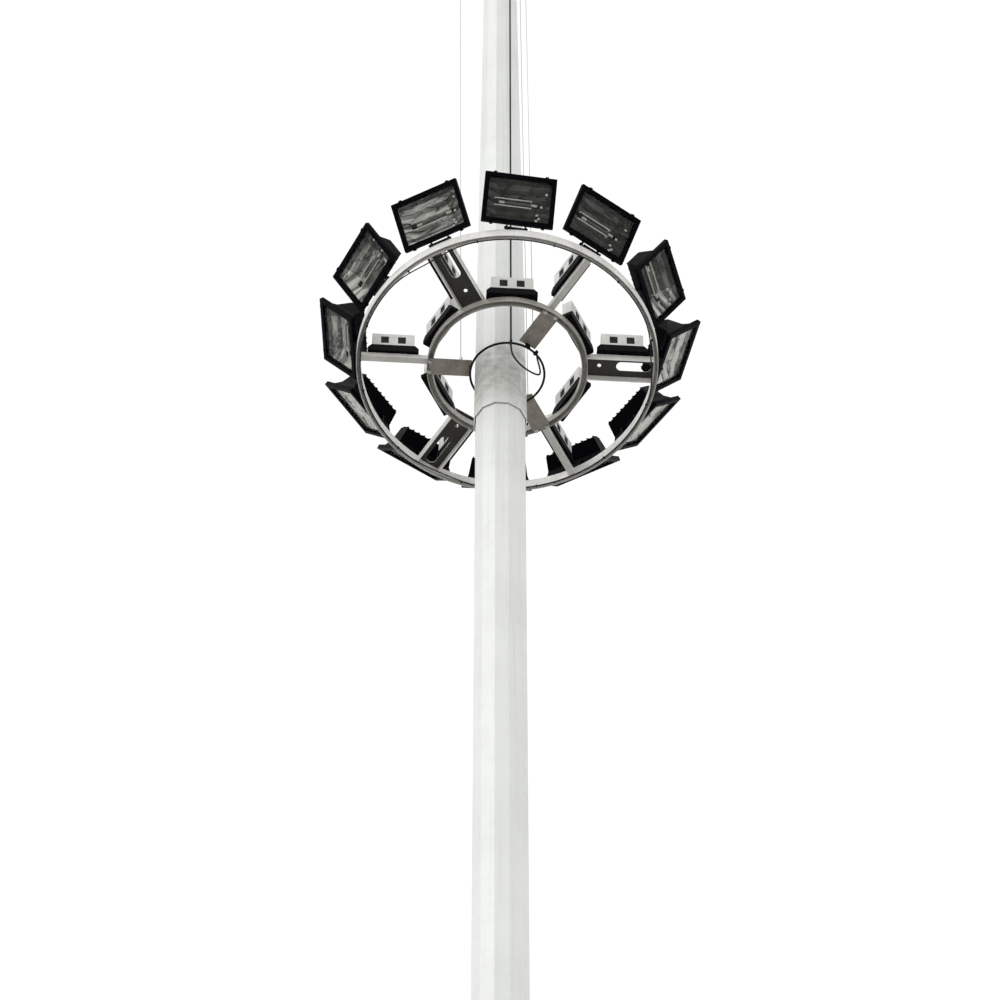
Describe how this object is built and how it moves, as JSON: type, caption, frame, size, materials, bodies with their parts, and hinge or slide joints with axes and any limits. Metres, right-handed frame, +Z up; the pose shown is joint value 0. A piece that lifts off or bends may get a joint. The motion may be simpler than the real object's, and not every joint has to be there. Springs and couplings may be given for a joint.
{
  "type": "high mast floodlight tower",
  "caption": "Tall tapered floodlight mast with a ring carriage of tilting floodlights that is hoisted up and down the shaft on ropes.",
  "frame": {"origin": "centre of the underside of the base flange, on the ground", "axes": "+Z up along the shaft; -Y towards the side that the picture shows nearest; +X to its right"},
  "size_m": [2.9769, 2.9239, 20.472],
  "materials": {
    "galvanised": "galvanised",
    "shaft_paint": "light grey paint",
    "carriage_paint": "light grey paint, weathered",
    "arm_steel": "weathered galvanising",
    "steel": "galvanised",
    "black_paint": "satin black",
    "cable_rubber": "matt",
    "gear_black": "satin black",
    "gear_white": "light grey",
    "housing_black": "black painted casting",
    "lens_glass": "clear"
  },
  "bodies": {
    "mast": {"base_flange": "galvanised", "base_gussets": "galvanised", "lower_shaft": "shaft_paint", "service_cover": "shaft_paint", "upper_shaft": "shaft_paint", "head_frame": "galvanised", "head_pulleys": "steel", "head_hood": "shaft_paint", "hoist_ropes": "steel", "supply_cable": "cable_rubber"},
    "carriage": {"outer_ring": "carriage_paint", "mid_ring": "carriage_paint", "channel_spokes": "carriage_paint", "tube_spokes": "carriage_paint", "guide_arms": "arm_steel", "guide_hoop": "black_paint", "rope_lugs": "steel", "gear_trays": "gear_black", "gear_boxes": "gear_white", "stirrups": "black_paint", "cable_loop": "cable_rubber"},
    "floodlight_01": {"housing_01": "housing_black", "lens_01": "lens_glass"},
    "floodlight_02": {"housing_02": "housing_black", "lens_02": "lens_glass"},
    "floodlight_03": {"housing_03": "housing_black", "lens_03": "lens_glass"},
    "floodlight_04": {"housing_04": "housing_black", "lens_04": "lens_glass"},
    "floodlight_05": {"housing_05": "housing_black", "lens_05": "lens_glass"},
    "floodlight_06": {"housing_06": "housing_black", "lens_06": "lens_glass"},
    "floodlight_07": {"housing_07": "housing_black", "lens_07": "lens_glass"},
    "floodlight_08": {"housing_08": "housing_black", "lens_08": "lens_glass"},
    "floodlight_09": {"housing_09": "housing_black", "lens_09": "lens_glass"},
    "floodlight_10": {"housing_10": "housing_black", "lens_10": "lens_glass"},
    "floodlight_11": {"housing_11": "housing_black", "lens_11": "lens_glass"},
    "floodlight_12": {"housing_12": "housing_black", "lens_12": "lens_glass"}
  },
  "joints": [
    {"name": "carriage_hoist", "type": "slide", "parent": "mast", "child": "carriage", "axis": [0, 0, 1], "range_m": [-10.6, 7], "deforming": ["hoist_ropes", "supply_cable"]},
    {"name": "tilt_01", "type": "hinge", "parent": "carriage", "child": "floodlight_01", "pos_m": [1.19624, -0.00229, 12.105], "axis": [-0.2079, 0.9781, 0], "range_deg": [-13, 24]},
    {"name": "tilt_02", "type": "hinge", "parent": "carriage", "child": "floodlight_02", "pos_m": [1.04341, 0.57035, 12.105], "axis": [-0.5592, 0.829, 0], "range_deg": [-13, 24]},
    {"name": "tilt_03", "type": "hinge", "parent": "carriage", "child": "floodlight_03", "pos_m": [0.625, 0.989, 12.105], "axis": [-0.866, 0.5, 0], "range_deg": [-13, 24]},
    {"name": "tilt_04", "type": "hinge", "parent": "carriage", "child": "floodlight_04", "pos_m": [0.054, 1.142, 12.105], "axis": [-1, 0, 0], "range_deg": [-13, 24]},
    {"name": "tilt_05", "type": "hinge", "parent": "carriage", "child": "floodlight_05", "pos_m": [-0.517, 0.989, 12.105], "axis": [-0.866, -0.5, 0], "range_deg": [-13, 24]},
    {"name": "tilt_06", "type": "hinge", "parent": "carriage", "child": "floodlight_06", "pos_m": [-0.93586, 0.56973, 12.105], "axis": [-0.6157, -0.788, 0], "range_deg": [-13, 24]},
    {"name": "tilt_07", "type": "hinge", "parent": "carriage", "child": "floodlight_07", "pos_m": [-1.08806, -0.00115, 12.105], "axis": [-0.1045, -0.9945, 0], "range_deg": [-13, 24]},
    {"name": "tilt_08", "type": "hinge", "parent": "carriage", "child": "floodlight_08", "pos_m": [-0.93456, -0.57185, 12.105], "axis": [0.4226, -0.9063, 0], "range_deg": [-13, 24]},
    {"name": "tilt_09", "type": "hinge", "parent": "carriage", "child": "floodlight_09", "pos_m": [-0.517, -0.989, 12.105], "axis": [0.866, -0.5, 0], "range_deg": [-13, 24]},
    {"name": "tilt_10", "type": "hinge", "parent": "carriage", "child": "floodlight_10", "pos_m": [0.05304, -1.14204, 12.105], "axis": [0.9962, 0.0872, 0], "range_deg": [-13, 24]},
    {"name": "tilt_11", "type": "hinge", "parent": "carriage", "child": "floodlight_11", "pos_m": [0.62451, -0.9893, 12.105], "axis": [0.8387, 0.5446, 0], "range_deg": [-13, 24]},
    {"name": "tilt_12", "type": "hinge", "parent": "carriage", "child": "floodlight_12", "pos_m": [1.04213, -0.57292, 12.105], "axis": [0.3256, 0.9455, 0], "range_deg": [-13, 24]}
  ]
}
